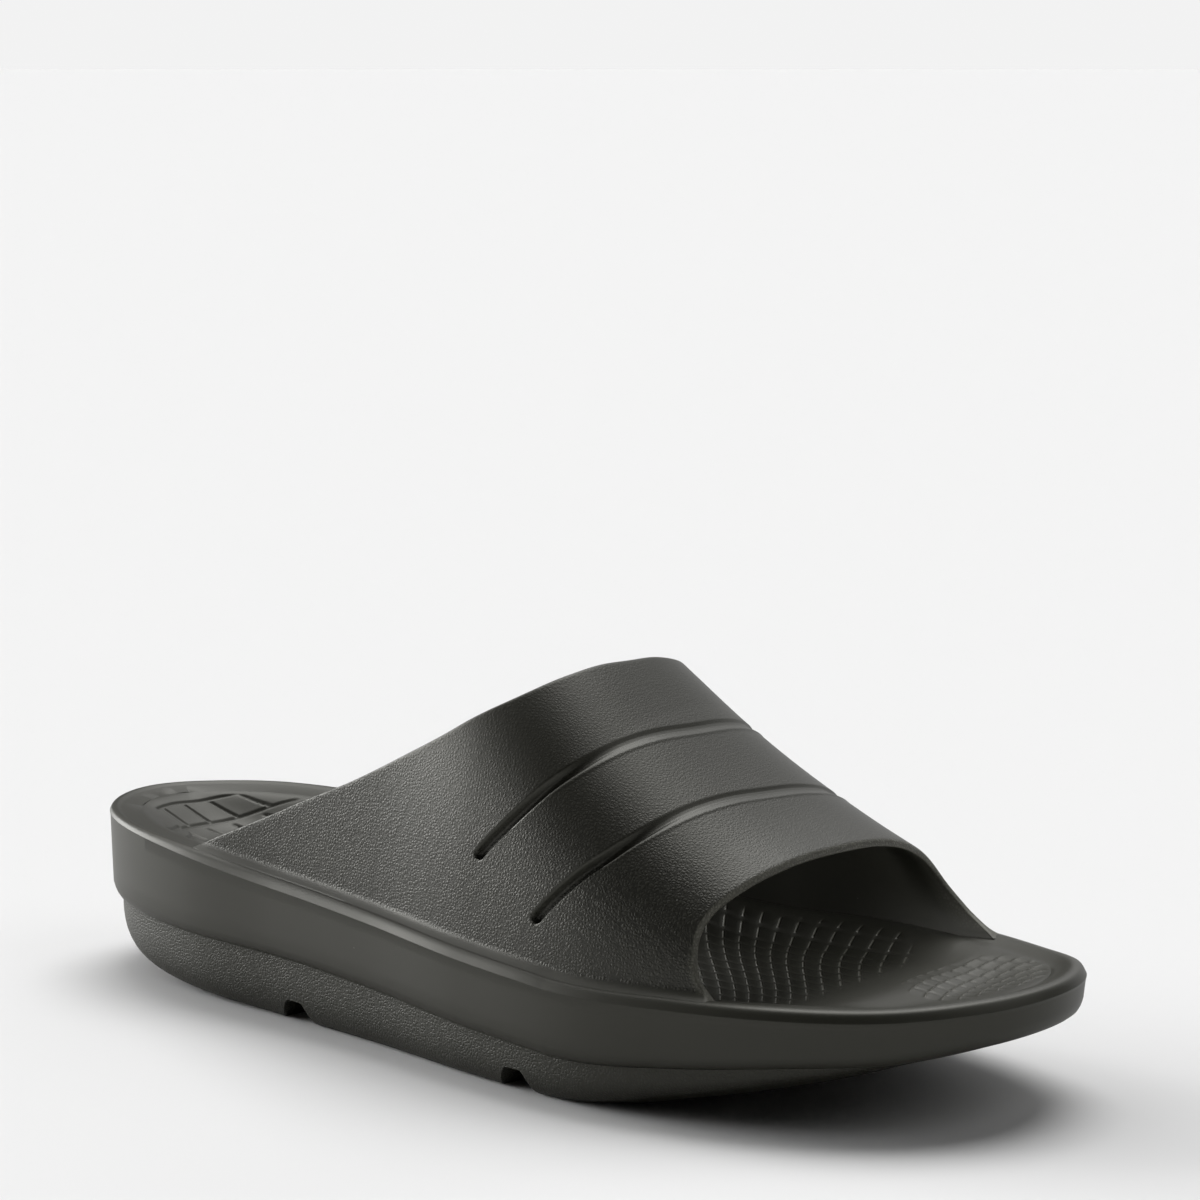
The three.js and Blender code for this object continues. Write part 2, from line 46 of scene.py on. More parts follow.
# Sizes of the shoe, in millimetres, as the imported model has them. x runs from the heel to the toe,
# y to the inner side and z up.
LENGTH = 280
BALL_WIDTH = 105.98
OUTSOLE_THICKNESS = 16
MIDSOLE_THICKNESS = 23
HEEL_BEVEL = 15
TOE_SPRING = 19
INSTEP_RISE = 63.8
MIDDLE = (140, -3.379)  # goes over the origin

UPPER_WALL = 3.6
UPPER_EDGE = 2.9
MOUTH_EDGE = 1.6
EDGE_TAPER = 9
EDGE_CORNER = 0.7
SEAT_INSET = 4
SEAT_SINK = 1.4  # how far the upper's bases run down into the rim
ARCH_FULLNESS = 2.6
ARCH_LEAN = 0.04
GROOVE_WIDTH = 3.3
GROOVE_DEPTHS = (0.4, 1.8)  # over the instep and low at the sides
GROOVE_WALLS = (0.28, 0.45)  # the rear side of a groove, as shares of half its width
GROOVE_RAMPS = (1.5, 0.6)  # its front side
GROOVE_BEAD = 0.12  # how high the bead in front of a groove stands, over the instep
GROOVE_REACH = 2.8  # how far on each side of a groove the points are closer
FLARE = 2.0  # how far the upper's bases spread over the rim
FLARE_RISE = 2.6
COLLAR_CORNER = 1.3
MOUTH_CORNER = 0.5
MOUTH_LEAN = 0.35  # how much the mouth's edge turns outwards

RIM_WIDTH = 8
CHAMFER_HEIGHT = 3
DISH_DEPTH = 8
DISH_BLEND = 17
WAIST_SWELL = 3
TOE_BAR_RISE = 1
TOE_BAR_WIDTH = 12

OUTSOLE_INSET = 3
TREAD_EDGE = 3.5
TREAD_BORDER = 8.5
TREAD_BELLY = 2.6
TREAD_TUCK = 11
CHANNEL_DEPTH = 5.5
CHANNEL_TOP = 6.5
CHANNEL_MOUTH = 12
CHANNEL_BOW = 9
CHANNELS = (0.3, 0.597)

# along, outer side, inner side, tuck
PLAN = np.array([
    (0.0, 0.04, 0.04, 0), (0.03, -0.157, 0.22, 0), (0.09, -0.268, 0.348, 0),
    (0.18, -0.339, 0.412, 0), (0.3, -0.375, 0.412, 0), (0.42, -0.427, 0.4, 0),
    (0.54, -0.495, 0.406, 0), (0.66, -0.532, 0.445, 0), (0.76, -0.505, 0.468, 0),
    (0.85, -0.44, 0.428, 0.1), (0.92, -0.336, 0.362, 0.5), (0.975, -0.166, 0.27, 0.9),
    (1.0, 0.063, 0.063, 1.0)])

# along, heel bevel, toe spring, outsole, midsole, dish
PROFILE = np.array([
    (0.0, 1.0, 0, 0.25, 1.0, 0.8), (0.03, 0.59, 0, 0.61, 1.0, 0.9), (0.09, 0.26, 0, 0.86, 1.01, 1.0),
    (0.18, 0.08, 0, 0.97, 0.99, 1.0), (0.3, 0, 0, 1.0, 0.895, 0.85), (0.42, 0, 0, 0.91, 0.855, 0.7),
    (0.54, 0, 0, 0.78, 0.837, 0.65), (0.66, 0, 0.02, 0.65, 0.811, 0.65),
    (0.76, 0, 0.315, 0.43, 0.717, 0.6), (0.85, 0, 0.6, 0.25, 0.61, 0.5),
    (0.92, 0, 0.76, 0.145, 0.56, 0.4), (0.975, 0, 0.93, 0.115, 0.476, 0.3),
    (1.0, 0, 1.0, 0.12, 0.445, 0.3)])

# along, rise of the upper's ridge
RIDGE = np.array([
    (0.1, 1.83), (0.3, 1.57), (0.45, 1.3), (0.55, 1.119), (0.64, 0.845), (0.75, 0.52),
    (0.83, 0.352), (0.92, 0.19)])

# over the arch, collar, rear groove, front groove, mouth
UPPER_LINES = np.array([
    (0.0, 0.191, 0.49, 0.589, 0.785), (0.03, 0.257, 0.51, 0.604, 0.776),
    (0.06, 0.3175, 0.529, 0.619, 0.77), (0.1, 0.3893, 0.554, 0.638, 0.767),
    (0.15, 0.4562, 0.583, 0.661, 0.766), (0.2, 0.5087, 0.606, 0.682, 0.77),
    (0.27, 0.557, 0.63, 0.702, 0.78), (0.35, 0.582, 0.646, 0.715, 0.788),
    (0.45, 0.592, 0.656, 0.724, 0.793), (0.55, 0.5948, 0.66, 0.73, 0.797),
    (0.65, 0.591, 0.657, 0.732, 0.8), (0.75, 0.567, 0.643, 0.726, 0.803),
    (0.85, 0.499, 0.609, 0.703, 0.812), (0.92, 0.414, 0.575, 0.678, 0.834),
    (0.97, 0.33, 0.546, 0.657, 0.856), (1.0, 0.279, 0.529, 0.644, 0.868)])
REAR_GROOVE = (0.1, 0.9)
FRONT_GROOVE = (0.067, 0.93)

# Rim from its side wall to the footbed: inset and drop below the crest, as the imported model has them
RIM = np.array([(0, 2.4), (0.88, 0.912), (2.16, 0.192), (3.36, 0), (5.6, 0.48), (8, 1.296)])


# Curves through the tables

def curve(places, values, before, after):
    xs = np.concatenate([[before[0]], places, [after[0]]])
    vs = np.concatenate([[before[1]], values, [after[1]]])
    slopes = (vs[2:] - vs[:-2]) / (xs[2:] - xs[:-2])

    def at(x):
        i = np.clip(np.searchsorted(places, x, side="right") - 1, 0, len(places) - 2)
        step = places[i + 1] - places[i]
        t = (x - places[i]) / step
        return ((1 + 2 * t) * (1 - t) ** 2 * values[i] + t * (1 - t) ** 2 * step * slopes[i]
                + t * t * (3 - 2 * t) * values[i + 1] + t * t * (t - 1) * step * slopes[i + 1])
    return at


def sole_curve(table, column, mirror=None):
    mirror = column if mirror is None else mirror
    angles, values = np.arccos(1 - 2 * table[:, 0]), table[:, column]
    bent = curve(angles, values, (-angles[1], table[1, mirror]),
                 (2 * math.pi - angles[-2], table[-2, mirror]))
    return lambda along: bent(np.arccos(1 - 2 * np.clip(along, 0, 1)))


def open_curve(table, column):
    places, values = table[:, 0], table[:, column]
    return curve(places, values, (2 * places[0] - places[1], 2 * values[0] - values[1]),
                 (2 * places[-1] - places[-2], 2 * values[-1] - values[-2]))


def ease(share):
    share = np.clip(share, 0, 1)
    return share * share * (3 - 2 * share)


outer_side, inner_side = sole_curve(PLAN, 1, 2), sole_curve(PLAN, 2, 1)
tuck_share = sole_curve(PLAN, 3)
bevel, spring, outsole_share, midsole_share, dish = [sole_curve(PROFILE, k) for k in range(1, 6)]
ridge_share = open_curve(RIDGE, 1)
collar_line, rear_line, front_line, mouth_line = [open_curve(UPPER_LINES, k) for k in range(1, 5)]


def tread_height(x):
    return (np.maximum(0, HEEL_BEVEL * bevel(x / LENGTH))
            + np.maximum(0, TOE_SPRING * spring(x / LENGTH)))


def parting_height(x):
    return tread_height(x) + OUTSOLE_THICKNESS * outsole_share(x / LENGTH)


def rim_height(x):
    return parting_height(x) + MIDSOLE_THICKNESS * midsole_share(x / LENGTH)


def ridge_height(x):
    return rim_height(x) + INSTEP_RISE * ridge_share(x / LENGTH)


def outline(turn):
    turn = np.mod(turn, 1)
    along = (1 - np.cos(2 * math.pi * turn)) / 2
    side = np.where(turn <= 0.5, outer_side(along), inner_side(along))
    return np.stack([LENGTH * along, BALL_WIDTH * side], -1)


def inset_outline(turn, inset):
    ahead = outline(turn + 1e-4) - outline(turn - 1e-4)
    ahead /= np.linalg.norm(ahead, axis=-1, keepdims=True)
    square = np.stack([-ahead[:, 1], ahead[:, 0]], -1)
    return outline(turn) + square * np.broadcast_to(inset, turn.shape)[:, None]


def side_at(x, side, inset):
    column = outer_side if side < 0 else inner_side
    low, high = (BALL_WIDTH * column((x + step) / LENGTH) for step in (-0.5, 0.5))
    return BALL_WIDTH * column(x / LENGTH) - side * inset * np.hypot(1, high - low)


def across_share(x, y):
    """0 at the outer side of the rim, 1 at the inner side."""
    low, high = BALL_WIDTH * outer_side(x / LENGTH), BALL_WIDTH * inner_side(x / LENGTH)
    return (y - low) / np.maximum(high - low, 1)


def bed_distance(x, y):
    gaps = np.stack([x - RIM_WIDTH, LENGTH - RIM_WIDTH - x, y - side_at(x, -1, RIM_WIDTH),
                     side_at(x, 1, RIM_WIDTH) - y])
    blended = (np.maximum(gaps, 1e-3) ** -3.0).sum(0) ** (-1 / 3)
    return np.where(gaps.min(0) <= 0, 0, blended)


def bed_height(x, y):
    along, aside = x / LENGTH, 0.5 - across_share(x, y)
    depth = ease(bed_distance(x, y) / DISH_BLEND)
    swell = WAIST_SWELL * ease(-aside / 0.35) * ease(1 - np.abs(along - 0.42) / 0.2)
    bar_at = LENGTH * (0.865 - 0.06 * aside - 0.1 * aside ** 2)
    bar = TOE_BAR_RISE * ease(1 - np.abs(x - bar_at) / TOE_BAR_WIDTH)
    edge = rim_height(x) - np.interp(RIM_WIDTH, RIM[:, 0], RIM[:, 1])
    return edge - depth * (DISH_DEPTH * dish(along) - swell - bar)


# Modelling: a loop of points is added as a circle and extruded from one place to the next

def in_scene(points):
    return (points - np.array([*MIDDLE, 0])) / 1000


def lay_last(piece, points):
    mesh = bmesh.from_edit_mesh(piece.data)
    mesh.verts.ensure_lookup_table()
    for vertex, place in zip(mesh.verts[-len(points):], in_scene(points)):
        vertex.co = place


def extruded(name, loops):
    bpy.ops.object.select_all(action="DESELECT")
    bpy.ops.mesh.primitive_circle_add(vertices=len(loops[0]), fill_type="NOTHING")
    piece = bpy.context.object
    piece.name = piece.data.name = name
    bpy.ops.object.mode_set(mode="EDIT")
    bpy.ops.mesh.select_mode(type="EDGE")
    bpy.ops.mesh.select_all(action="SELECT")
    lay_last(piece, loops[0])
    for loop in loops[1:]:
        bpy.ops.mesh.extrude_region()
        lay_last(piece, loop)
    return piece


def close_loop(piece, first, count):
    """Fills the loop of count vertices that starts at vertex first. The piece is in edit mode."""
    bpy.ops.mesh.select_mode(type="VERT")
    bpy.ops.mesh.select_all(action="DESELECT")
    mesh = bmesh.from_edit_mesh(piece.data)
    mesh.verts.ensure_lookup_table()
    for vertex in mesh.verts[first:first + count]:
        vertex.select = True
    mesh.select_flush(True)
    bpy.ops.mesh.edge_face_add()


def finish_mesh(piece, smooth_angle=40):
    """Merges what meets, turns the faces outwards and shades them."""
    bpy.ops.mesh.select_all(action="SELECT")
    bpy.ops.mesh.remove_doubles(threshold=2e-6)
    bpy.ops.mesh.dissolve_degenerate(threshold=1e-7)
    bpy.ops.mesh.normals_make_consistent(inside=False)
    bpy.ops.object.mode_set(mode="OBJECT")
    bpy.ops.object.shade_smooth_by_angle(angle=math.radians(smooth_angle))
    bpy.ops.object.select_all(action="DESELECT")


def stations(spacings):
    """Turns from the heel tip to the toe tip, as far apart as the (x, spacing) table says."""
    turns = np.linspace(0, 0.5, 20001)
    places = outline(turns)
    run = np.linalg.norm(np.diff(places, axis=0), axis=1)
    wanted = np.interp((places[1:, 0] + places[:-1, 0]) / 2, *np.array(spacings, float).T)
    steps = np.concatenate([[0], np.cumsum(run / wanted)])
    half = np.interp(np.linspace(0, steps[-1], round(steps[-1]) + 1), steps, turns)
    return np.concatenate([half, 1 - half[-2:0:-1]])


def ring(turns, inset, height):
    base = outline(turns)
    inset = inset(base[:, 0]) if callable(inset) else inset
    flat = inset_outline(turns, inset)
    return np.column_stack([flat, height(flat[:, 0])])


def towards_spine(edge, share, height=None):
    """The ring moved in by a share of the way to its mirror ring, 0.5 being the spine of the sole."""
    mirror = np.roll(edge[::-1], 1, axis=0)
    moved = edge + (mirror - edge) * share
    if height is not None:
        moved[:, 2] = height(moved[:, 0], moved[:, 1])
    return moved


# Footbed: two ribbed zones with scaled steps, and engraved lines in the heel

RIB_PITCH = 5.2
STEP_PITCH = 5.6
STEP_RISE = 0.4
RIB_DEPTH = 0.06
TOE_RIB_PITCH = 4.4
TOE_STEP_PITCH = 4.1
TOE_STEP_RISE = 0.4
TOE_RIB_DEPTH = 0.1
LIP_AT = 0.12  # where the top of a lip is, as a share of the step
NET_WIDTH = 0.58
NET_DEPTH = 0.42
NET_ARCS = [(12.6, -4, 24), (20.8, -4, 30), (38, -2, 26)]  # place, and from where to where across
NET_FANS = [(-1.5, 12.6, 20.8), (2.6, 22.4, 28), (5.4, 30, 38), (1, 39.5, 48)]  # shift, from and to
FAN_PITCH = 7.6
SIDE_LINES = [((19, -3), (30, -19)), ((23, -2), (37, -22)), ((28, -4), (44, -24)),
              ((35, -9), (50, -25))]
SIDE_LINE_BEND = 1.4
BALL_ZONE_START = 128
# y, x where the ball's zone ends
BALL_ZONE_END = np.array([
    (-50, 205), (-42, 214), (-35, 222), (-20, 228), (0, 229), (15, 231), (25, 230), (33, 225),
    (40, 215)])
TOE_ZONE = (253, 12)
TOE_ZONE_REACH = (17.5, 18)
TOE_ARCS = (282, 10)  # middle of the arcs
ZONES_PART = 233  # x between the two zones
RIB_SKEW = 0.045


def scales(steps, ribs, rise, depth):
    """Lips across that rise at once and fall away towards the toe, cut by narrow lengthwise valleys.
    steps and ribs count the lips and the ribs from the heel and from the outer side."""
    phase = np.mod(steps, 1)
    lip = ease(phase / LIP_AT) * (1 - phase) ** 2.2
    valley = ease((0.17 - np.abs(np.mod(ribs, 1) - 0.5)) / 0.14)
    return rise * (lip * (1 - 0.85 * valley) - 0.2) - depth * valley


def ball_along(x, y):
    """Where the lip through each point starts on the inner side. The lips run forward to the outer
    side, those near the heel more than those near the toe."""
    share = np.clip((38 - y) / 80, 0, 1.05)
    rear = 57 * (0.72 * share + 0.28 * ease(share))
    front = 36 * ease(share)
    start = x - rear
    for _ in range(12):
        start = x - rear + (rear - front) * ease((start - 150) / 60)
    return start


def ball_zone(x, y):
    """How far a point is in the ball's zone, 0 to 1, and its count of steps and ribs there."""
    share = ease((x - BALL_ZONE_START) / 10)
    share *= ease((np.interp(y, *BALL_ZONE_END.T) - x) / 3)
    share *= ease((bed_distance(x, y) - 3.5) / 3)
    return share, ball_along(x, y) / STEP_PITCH, (y + RIB_SKEW * (x - 200)) / RIB_PITCH


def toe_zone(x, y):
    """The same for the toes' zone, where the steps are arcs round the toe tip."""
    away = np.hypot((x - TOE_ZONE[0]) / TOE_ZONE_REACH[0], (y - TOE_ZONE[1]) / TOE_ZONE_REACH[1])
    arcs = 60 - np.hypot(x - TOE_ARCS[0], 0.9 * (y - TOE_ARCS[1]))
    return ease((1 - away) * 6), arcs / TOE_STEP_PITCH, (y + RIB_SKEW * (x - 200)) / TOE_RIB_PITCH


def bed_relief(x, y):
    ball, steps, ribs = ball_zone(x, y)
    relief = ball * scales(steps, ribs, STEP_RISE, RIB_DEPTH)
    toe, steps, ribs = toe_zone(x, y)
    relief += toe * scales(steps, ribs, TOE_STEP_RISE, TOE_RIB_DEPTH)
    return relief - NET_DEPTH * heel_net(x, y)


def heel_net(x, y):
    """1 on the engraved lines of the heel: arcs that follow the heel cup, lines along the foot between
    them, and long lines along the outer side."""
    arc = x - ((y - 2) / 7.3) ** 2
    fan = y - 0.3 * (arc - NET_ARCS[0][0])

    def line(away):
        return ease(1.25 - np.abs(away) / NET_WIDTH)

    def between(value, low, high):
        return ease((value - low) / 0.9) * ease((high - value) / 0.9)

    def each(value, pitch, shift):
        return pitch * (np.mod((value - shift) / pitch + 0.5, 1) - 0.5)
    gap = bed_distance(x, y)
    net = np.zeros_like(x)
    for place, low, high in NET_ARCS:
        net = np.maximum(net, line(arc - place) * between(y, low, high))
    for shift, low, high in NET_FANS:
        fans = line(each(fan, FAN_PITCH, shift)) * between(arc, low, high)
        net = np.maximum(net, fans * between(y, -5, 30))
    net *= ease((gap - 2.5) / 1.2)
    for (x0, y0), (x1, y1) in SIDE_LINES:
        length = math.hypot(x1 - x0, y1 - y0)
        along = ((x - x0) * (x1 - x0) + (y - y0) * (y1 - y0)) / length
        away = ((x - x0) * (y1 - y0) - (y - y0) * (x1 - x0)) / length
        away += SIDE_LINE_BEND * (2 * along / length - 1) ** 2
        net = np.maximum(net, line(away) * between(along, 0, length))
    return net * ease((gap - 1.5) / 1)


# Midsole, from the underside's spine up over the side wall and the rim to the footbed

UNDERSIDE_INSET = 3.4
WALL_FOOT = 3.9  # height of the side wall's foot over the parting line
WALL_TOP = 2.8  # depth of its top under the rim's crest
BED_RINGS = 68

# Chamfer with its two edges rounded: inset, share of its height
CHAMFER_PROFILE = [(2.5, 0.07), (1.75, 0.22), (1.2, 0.5), (0.85, 0.8), (0.62, 1.1)]

# A fine bead on top of the wall, the outer slope and the crest: inset, drop
RIM_PROFILE = [
    (0.03, 2.65), (0, 2.48), (0.09, 2.28), (0.36, 1.72), (0.66, 1.16), (0.95, 0.74), (1.3, 0.42),
    (1.75, 0.19), (2.3, 0.06), (2.9, 0), (3.5, 0.02), (4, 0.12), (4.5, 0.3), (5.2, 0.6), (6, 0.88),
    (7, 1.14)]


def rim_share(x):
    """The rim's profile is half as wide and deep round the heel."""
    return 0.5 + 0.5 * ease((x - 20) / 60)


def make_midsole():
    turns = stations([(0, 0.7), (8, 0.5), (52, 0.5), (60, 1.0), (80, 1.8), (130, 1.8), (150, 0.9),
                      (165, 0.6), (232, 0.55), (272, 0.5), (280, 0.7)])

    def wall_height(x, share):
        foot = parting_height(x) + WALL_FOOT
        return foot + (rim_height(x) - WALL_TOP * rim_share(x) - parting_height(x) - WALL_FOOT) * share
    edge = ring(turns, UNDERSIDE_INSET, parting_height)
    loops = [towards_spine(edge, 0.5), edge]
    for inset, rise in CHAMFER_PROFILE:
        loops.append(ring(turns, inset, lambda x: parting_height(x) + CHAMFER_HEIGHT * rise))
    for share in (0.2, 0.5, 0.8, 1):
        loops.append(ring(turns, 0.13 + 0.45 * (1 - share), lambda x: wall_height(x, share)))
    for inset, drop in RIM_PROFILE:
        loops.append(ring(turns, lambda x: inset * rim_share(x),
                          lambda x: rim_height(x) - drop * rim_share(x)))
    bed_edge = ring(turns, RIM_WIDTH, lambda x: rim_height(x) - RIM[-1, 1])
    loops.append(bed_edge)
    for share in np.arange(1, BED_RINGS + 1) * 0.5 / BED_RINGS:
        loops.append(towards_spine(bed_edge, share, lambda x, y: bed_height(x, y) + bed_relief(x, y)))
    piece = extruded("midsole_moulding", loops)
    finish_mesh(piece, 50)
    return piece


# Outsole, from its seat under the midsole down over the side to the tread, with two channels cut

WAVES_INSET = 17
WAVES_ALONG = (20, 252)
WAVE_REACH = 2.2
WAVE_PITCH = 8
WAVE_DEPTH = 1.1


def tread_flat(x):
    return np.maximum(0, tread_height(x) - TREAD_BELLY * ease(1 - tuck_share(x / LENGTH)))


def tread_pattern(x, y):
    """Wavy grooves across the tread, inside its border."""
    low, high = side_at(x, -1, WAVES_INSET), side_at(x, 1, WAVES_INSET)
    inside = ease((y - low) / 2) * ease((high - y) / 2)
    inside = inside * ease((x - WAVES_ALONG[0]) / 3) * ease((WAVES_ALONG[1] - x) / 3)
    wave = np.mod((x + WAVE_REACH * np.sin(y / 5.5)) / WAVE_PITCH, 1)
    return WAVE_DEPTH * inside * ease((0.14 - np.abs(wave - 0.5)) / 0.08)


# Side down to the tread: inset, share of the height
SIDE_PROFILE = [(0.03, 0.97), (0.05, 0.85), (0.08, 0.7), (0.16, 0.56), (0.34, 0.42), (0.66, 0.29),
                (1.15, 0.18), (1.8, 0.09), (2.6, 0.03), (3.5, 0)]
TREAD_RINGS = 44


def make_outsole():
    turns = stations([(0, 1.0), (20, 0.8), (252, 0.8), (280, 1.0)])

    def side_inset(x):
        return OUTSOLE_INSET + TREAD_TUCK * tuck_share(x / LENGTH)

    def level(share):
        return lambda x: tread_height(x) + (parting_height(x) - tread_height(x)) * share

    def border_height(x, share):
        return tread_height(x) + (tread_flat(x) - tread_height(x)) * (1 - (1 - share) ** 1.6)
    seat = ring(turns, side_inset, level(1))
    loops = [towards_spine(seat, 0.5), seat]
    for inset, share in SIDE_PROFILE:
        loops.append(ring(turns, lambda x: side_inset(x) + inset, level(share)))
    for share in (0.15, 0.35, 0.6, 0.85, 1):
        loops.append(ring(turns, lambda x: side_inset(x) + TREAD_EDGE + TREAD_BORDER * share,
                          lambda x: border_height(x, share)))
    border = loops[-1]
    for share in np.arange(1, TREAD_RINGS + 1) * 0.5 / TREAD_RINGS:
        loops.append(towards_spine(border, share, lambda x, y: tread_flat(x) + tread_pattern(x, y)))
    piece = extruded("outsole_moulding", loops)
    finish_mesh(piece, 50)
    for along in CHANNELS:
        cut_channel(piece, along)
    bpy.context.view_layer.objects.active = piece
    bpy.ops.object.select_all(action="DESELECT")
    piece.select_set(True)
    bpy.ops.object.shade_smooth_by_angle(angle=math.radians(50))
    bpy.ops.object.select_all(action="DESELECT")
    return piece


def channel_section():
    """Half a channel's section from its roof to below the floor: half width and height, with the
    roof's corner and the floor's edge rounded."""
    slope = (CHANNEL_MOUTH - CHANNEL_TOP) / 2 / CHANNEL_DEPTH
    top, mouth = CHANNEL_TOP / 2, CHANNEL_MOUTH / 2
    corner = [(top - 1.5, CHANNEL_DEPTH), (top - 0.7, CHANNEL_DEPTH - 0.12),
              (top - 0.05, CHANNEL_DEPTH - 0.55), (top + 0.4, CHANNEL_DEPTH - 1.2)]
    wall = [(top + slope * (CHANNEL_DEPTH - 1.5), 1.5),
            (top + slope * (CHANNEL_DEPTH - 0.7) + 0.12, 0.7), (mouth + 0.5, 0), (mouth + 2.2, -1.5),
            (mouth + 2.2, -4)]
    return corner + wall


def cut_channel(sole, along):
    half = channel_section()
    section = [(w, z) for w, z in half] + [(-w, z) for w, z in reversed(half)]
    loops = []
    for across in np.linspace(-1, 1, 33):
        x = LENGTH * along + CHANNEL_BOW * (1 - (1.5 * across) ** 2)
        loops.append(np.array([(x + w, BALL_WIDTH * across * 0.75, z) for w, z in section]))
    bar = extruded("channel_cutter", loops)
    close_loop(bar, 0, len(section))
    close_loop(bar, len(section) * (len(loops) - 1), len(section))
    finish_mesh(bar)
    bpy.context.view_layer.objects.active = sole
    sole.select_set(True)
    cut = sole.modifiers.new("channel", "BOOLEAN")
    cut.object, cut.operation, cut.solver = bar, "DIFFERENCE", "EXACT"
    bpy.ops.object.modifier_apply(modifier=cut.name)
    bpy.data.objects.remove(bar)


# Upper: a closed section of the wall, from collar to mouth, extruded over the arch

def arch_point(x, over, depth):
    angle = math.pi * over
    c, s = np.cos(angle), np.maximum(np.sin(angle), 0)
    reach = (np.abs(c) ** ARCH_FULLNESS + s ** ARCH_FULLNESS) ** (-1 / ARCH_FULLNESS)
    inset = SEAT_INSET + depth
    outer, inner = side_at(x, -1, inset), side_at(x, 1, inset)
    slope = (ridge_height(x + 1) - ridge_height(x - 1)) / 2
    foot = rim_height(x) - np.interp(inset, RIM[:, 0], RIM[:, 1])
    top = ridge_height(x) - depth * np.hypot(1, slope)
    rise = (top - foot) * reach * s
    y = (outer + inner) / 2 - (inner - outer) / 2 * reach * c + ARCH_LEAN * rise
    return np.stack([x, y, foot + rise], -1)


def flared(points, over, share=1.0):
    """The points of the outer face, spread over the rim where they come down to it."""
    foot = rim_height(points[:, 0]) - np.interp(SEAT_INSET, RIM[:, 0], RIM[:, 1])
    near = np.clip(1 - (points[:, 2] - foot) / FLARE_RISE, 0, 1) ** 2.4
    moved = points.copy()
    moved[:, 1] += FLARE * near * share * (-1 if over < 0.5 else 1)
    return moved


def groove_path(line, ends):
    over = np.linspace(*ends, 900)
    return arch_point(LENGTH * line(over), over, np.zeros_like(over))


def groove_depths(points, over, paths):
    """Depth of the two grooves at each point of the outer face, rounded at their ends. The rear wall is
    steep, and the front one is a ramp over the instep."""
    side = ease((abs(over - 0.5) - 0.15) / 0.2)
    shapes = (GROOVE_DEPTHS, GROOVE_WALLS, GROOVE_RAMPS)
    deep, steep, ramp = [top + (low - top) * side for top, low in shapes]
    depth = np.zeros(len(points))
    for path in paths:
        line_x = np.interp(points[:, 1], *path[np.argsort(path[:, 1])][:, [1, 0]].T)
        near = np.abs(points[:, 0] - line_x) < 14
        spots = points[near]
        gap = np.full(len(spots), 99.0)
        for part in np.array_split(path, 9):
            away = np.linalg.norm(spots[:, None, :] - part[None], axis=2).min(axis=1)
            gap = np.minimum(gap, away)
        share = 2 * gap / GROOVE_WIDTH
        ahead = spots[:, 0] > line_x[near]
        wall = np.where(ahead, ramp, steep)
        level = ease(1 / wall)
        depth[near] = np.maximum(depth[near], deep * np.minimum(ease((1 - share) / wall) / level, 1))
        depth[near] -= GROOVE_BEAD * (1 - side) * ahead * ease(1 - np.abs(share - 1.25) / 0.4)
    return depth


def slant(line, over):
    """How much wider a groove is along x than across itself, at one place over the arch."""
    low, high = max(0, over - 0.01), min(1, over + 0.01)
    places = np.array([LENGTH * line(low), LENGTH * line(high), LENGTH * line(over) + 1,
                       LENGTH * line(over) - 1])
    a, b, c, d = arch_point(places, np.array([low, high, over, over]), np.zeros(4))
    run, cross = b - a, c - d
    sine = np.linalg.norm(np.cross(run, cross)) / np.linalg.norm(run) / np.linalg.norm(cross)
    return min(2.5, 1 / sine)


def outer_places(over):
    """Places along x of the outer face's points at one place over the arch, closer in the grooves."""
    collar = LENGTH * collar_line(over) + (COLLAR_CORNER - EDGE_CORNER) / 4
    mouth = LENGTH * mouth_line(over)
    rear, front = LENGTH * rear_line(over), LENGTH * front_line(over)
    reach_rear, reach_front = [GROOVE_REACH * slant(line, over) for line in (rear_line, front_line)]
    stops = [(collar, rear - reach_rear, 30), (rear - reach_rear, rear + reach_rear, 22),
             (rear + reach_rear, front - reach_front, 12),
             (front - reach_front, front + reach_front, 22),
             (front + reach_front, mouth, 26)]
    parts = [np.linspace(a, b, n, endpoint=False) for a, b, n in stops]
    return np.concatenate([*parts, [mouth]])


def edge_rounding(wall, outer_corner, lean=0):
    """The wall's edge from the outer face to the inner one: how far on, and how deep. A lean turns it
    outwards."""
    turns = np.radians([12, 30, 50, 72])
    outer = [(outer_corner * math.sin(t) - outer_corner, outer_corner - outer_corner * math.cos(t))
             for t in turns]
    face = [(0, outer_corner + (wall - outer_corner - EDGE_CORNER) * share)
            for share in (0.25, 0.5, 0.75)]
    inner = [(EDGE_CORNER * math.sin(t) - EDGE_CORNER, wall - EDGE_CORNER + EDGE_CORNER * math.cos(t))
             for t in turns[::-1]]
    return np.array([(outer_corner + on + lean * depth, depth) for on, depth in outer + face + inner])


def edge_points(x, ahead, over, wall, outer_corner, lean=0):
    """The rounded edge at the mouth, ahead being 1, or at the collar, -1, at one place over the arch."""
    on, depth = edge_rounding(wall, outer_corner, lean).T
    points = arch_point(x + ahead * on, np.full(len(on), over), depth)
    return flared(points, over, 1 - depth / wall)


def inner_face(xs, over):
    coarse = np.concatenate([xs[:1], xs[3:-3:3], xs[-1:]])
    wall = (UPPER_WALL - (UPPER_WALL - UPPER_EDGE) * ease(1 - (coarse - xs[0]) / EDGE_TAPER)
            - (UPPER_WALL - MOUTH_EDGE) * ease(1 - (xs[-1] - coarse) / EDGE_TAPER))
    return arch_point(coarse, np.full(len(coarse), over), wall)


